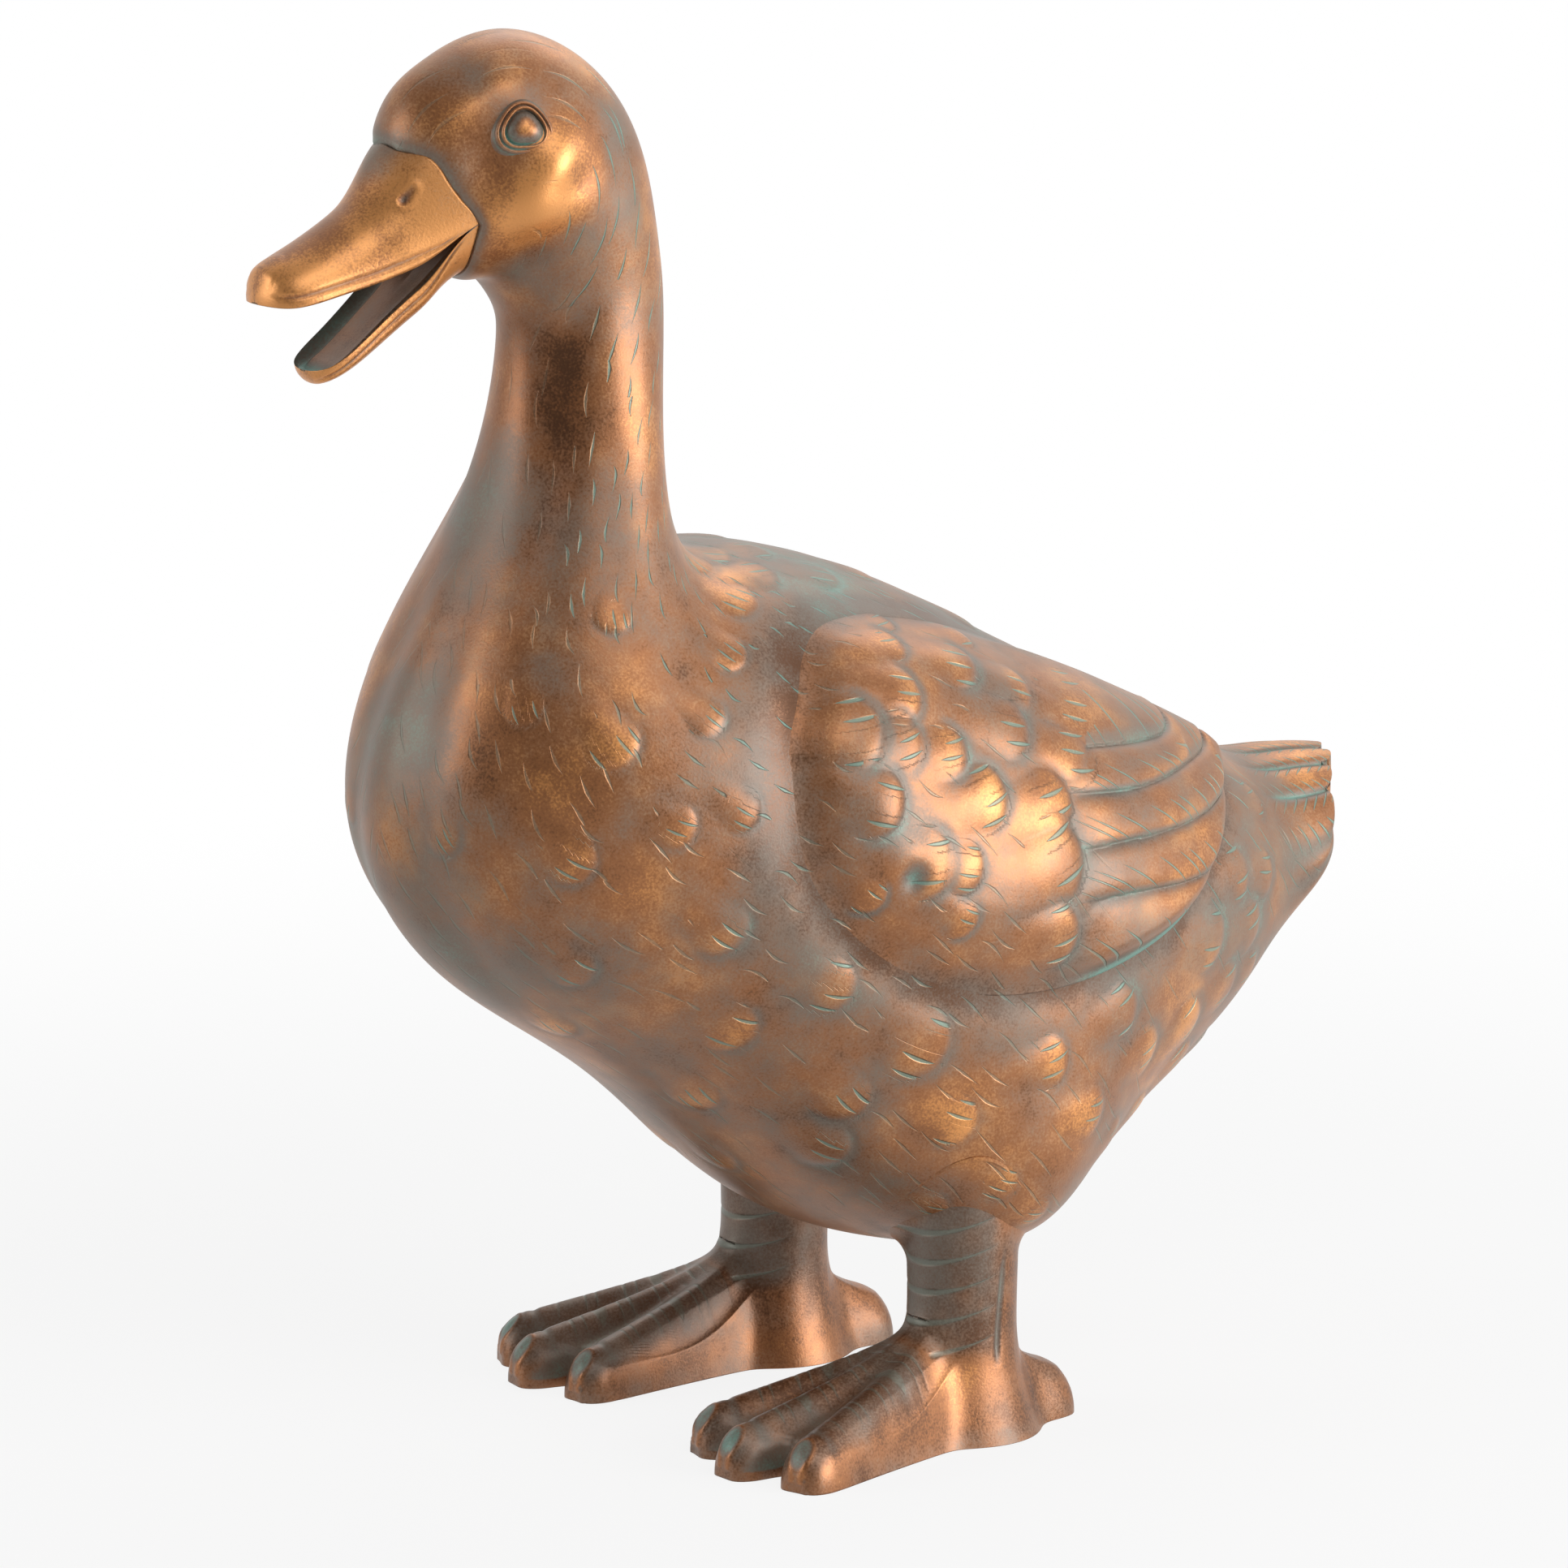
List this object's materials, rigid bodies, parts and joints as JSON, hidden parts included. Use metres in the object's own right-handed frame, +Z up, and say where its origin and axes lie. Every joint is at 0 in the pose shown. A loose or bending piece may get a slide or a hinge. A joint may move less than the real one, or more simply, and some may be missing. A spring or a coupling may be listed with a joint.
{
  "type": "standing duck figurine",
  "caption": "Free-standing hollow cast duck with raised feathers, folded wings, an open bill and webbed feet on flat soles, in an aged bronze finish.",
  "frame": {"origin": "on the ground, under the middle of the figure's length and width", "axes": "+Z up, -Y towards the bill, +X towards the duck's own left"},
  "size_m": [0.1958, 0.39, 0.44],
  "materials": {
    "aged_bronze": "cast resin painted as rubbed bronze, with grey-green verdigris in the hollows",
    "dark_bronze": "the same paint, darker and smoother",
    "bare_resin": "unpainted casting resin",
    "zinc_steel": "zinc-plated steel"
  },
  "bodies": {
    "root": {"body_left": "aged_bronze", "body_right": "aged_bronze", "neck": "aged_bronze", "head": "aged_bronze", "upper_bill": "aged_bronze", "lower_bill": "aged_bronze", "eye_left": "dark_bronze", "eye_right": "dark_bronze", "wing_left": "aged_bronze", "wing_right": "aged_bronze", "tail": "aged_bronze", "leg_left": "aged_bronze", "leg_right": "aged_bronze", "neck_sleeve": "bare_resin", "head_sleeve": "bare_resin", "leg_rod_left": "zinc_steel", "leg_rod_right": "zinc_steel", "rod_washer_left": "zinc_steel", "rod_washer_right": "zinc_steel", "rod_nut_left": "zinc_steel", "rod_nut_right": "zinc_steel", "leg_tie_bar": "zinc_steel"}
  },
  "joints": []
}
